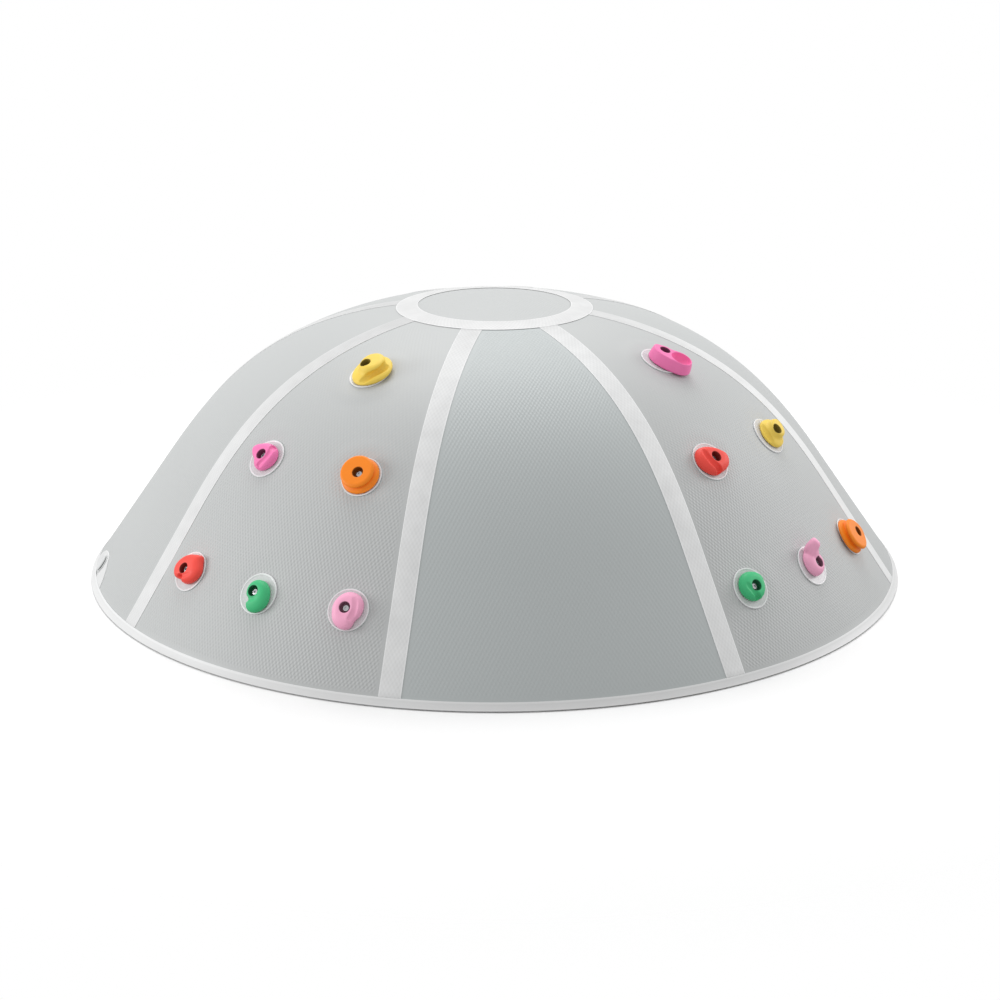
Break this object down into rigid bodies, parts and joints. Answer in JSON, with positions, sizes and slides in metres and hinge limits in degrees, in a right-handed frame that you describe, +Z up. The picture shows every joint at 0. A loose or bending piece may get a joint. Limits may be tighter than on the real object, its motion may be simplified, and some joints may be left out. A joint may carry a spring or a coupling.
{
  "type": "climbing dome",
  "caption": "Low inflated play dome of welded gores round a crown panel, with moulded climbing holds bolted to round anchor discs and a screw-capped inflation valve near its foot.",
  "frame": {"origin": "centre of the dome's foot, on the floor", "axes": "+Z up through the crown; -Y towards the front gore, which has no holds; +X to the right of someone facing that gore"},
  "size_m": [1.9946, 1.9946, 0.6597],
  "materials": {
    "grey_skin": "satin coated fabric with a fine raised weave",
    "white_tape": "smooth satin film",
    "web_cloth": "plain coated fabric",
    "pale_disc": "milky, slightly see-through",
    "valve_white": "smooth moulded",
    "seal_black": "matt",
    "bright_steel": "bright",
    "hold_yellow": "cast, fine grain",
    "hold_hot_pink": "cast, fine grain",
    "hold_orange": "cast, fine grain",
    "hold_red": "cast, fine grain",
    "hold_green": "cast, fine grain",
    "hold_light_pink": "cast, fine grain"
  },
  "bodies": {
    "dome": {"anchor_disc_green_left": "pale_disc", "anchor_disc_green_right": "pale_disc", "anchor_disc_hot_pink_left": "pale_disc", "anchor_disc_hot_pink_right": "pale_disc", "anchor_disc_light_pink_left": "pale_disc", "anchor_disc_light_pink_right": "pale_disc", "anchor_disc_orange_left": "pale_disc", "anchor_disc_orange_right": "pale_disc", "anchor_disc_red_left": "pale_disc", "anchor_disc_red_right": "pale_disc", "anchor_disc_yellow_left": "pale_disc", "anchor_disc_yellow_right": "pale_disc", "base_panel": "grey_skin", "bolt_green_left": "bright_steel", "bolt_green_right": "bright_steel", "bolt_hot_pink_left": "bright_steel", "bolt_hot_pink_right": "bright_steel", "bolt_light_pink_left": "bright_steel", "bolt_light_pink_right": "bright_steel", "bolt_orange_left": "bright_steel", "bolt_orange_right": "bright_steel", "bolt_red_left": "bright_steel", "bolt_red_right": "bright_steel", "bolt_yellow_left": "bright_steel", "bolt_yellow_right": "bright_steel", "crown_panel": "grey_skin", "gore_panel_1": "grey_skin", "gore_panel_2": "grey_skin", "gore_panel_3": "grey_skin", "gore_panel_4": "grey_skin", "gore_panel_5": "grey_skin", "gore_panel_6": "grey_skin", "gore_panel_7": "grey_skin", "gore_panel_8": "grey_skin", "hem_tape": "white_tape", "hold_green_left": "hold_green", "hold_green_right": "hold_green", "hold_hot_pink_left": "hold_hot_pink", "hold_hot_pink_right": "hold_hot_pink", "hold_light_pink_left": "hold_light_pink", "hold_light_pink_right": "hold_light_pink", "hold_orange_left": "hold_orange", "hold_orange_right": "hold_orange", "hold_red_left": "hold_red", "hold_red_right": "hold_red", "hold_yellow_left": "hold_yellow", "hold_yellow_right": "hold_yellow", "inner_webs": "web_cloth", "seam_tape": "white_tape", "valve_body": "valve_white", "valve_clamp_ring": "valve_white", "valve_patch": "white_tape"},
    "valve_poppet": {"valve_poppet": "seal_black", "valve_spring": "bright_steel"},
    "valve_stem": {"valve_stem": "valve_white"},
    "valve_cap_seal": {"valve_cap_seal": "seal_black"},
    "valve_cap": {"valve_cap": "valve_white"}
  },
  "joints": [
    {"name": "poppet_push", "type": "slide", "parent": "dome", "child": "valve_poppet", "axis": [-0.8135, 0, 0.5816], "range_m": [-0.005, 0], "stiffness_N_per_m": 300, "springref_m": 0.002, "deforming": ["valve_spring"]},
    {"name": "stem_turn", "type": "hinge", "parent": "valve_poppet", "child": "valve_stem", "pos_m": [-0.9686, 0, 0.03939], "axis": [-0.8135, 0, 0.5816], "range_deg": [0, 90]},
    {"name": "cap_lift", "type": "slide", "parent": "dome", "child": "valve_cap_seal", "axis": [-0.8135, 0, 0.5816], "range_m": [0, 0.006]},
    {"name": "cap_turn", "type": "hinge", "parent": "valve_cap_seal", "child": "valve_cap", "pos_m": [-0.9686, 0, 0.03939], "axis": [-0.8135, 0, 0.5816], "range_deg": [0, 540]}
  ],
  "couplings": [
    {"joint": "cap_turn", "follows": "cap_lift", "rad_per_m": 1570.8}
  ]
}
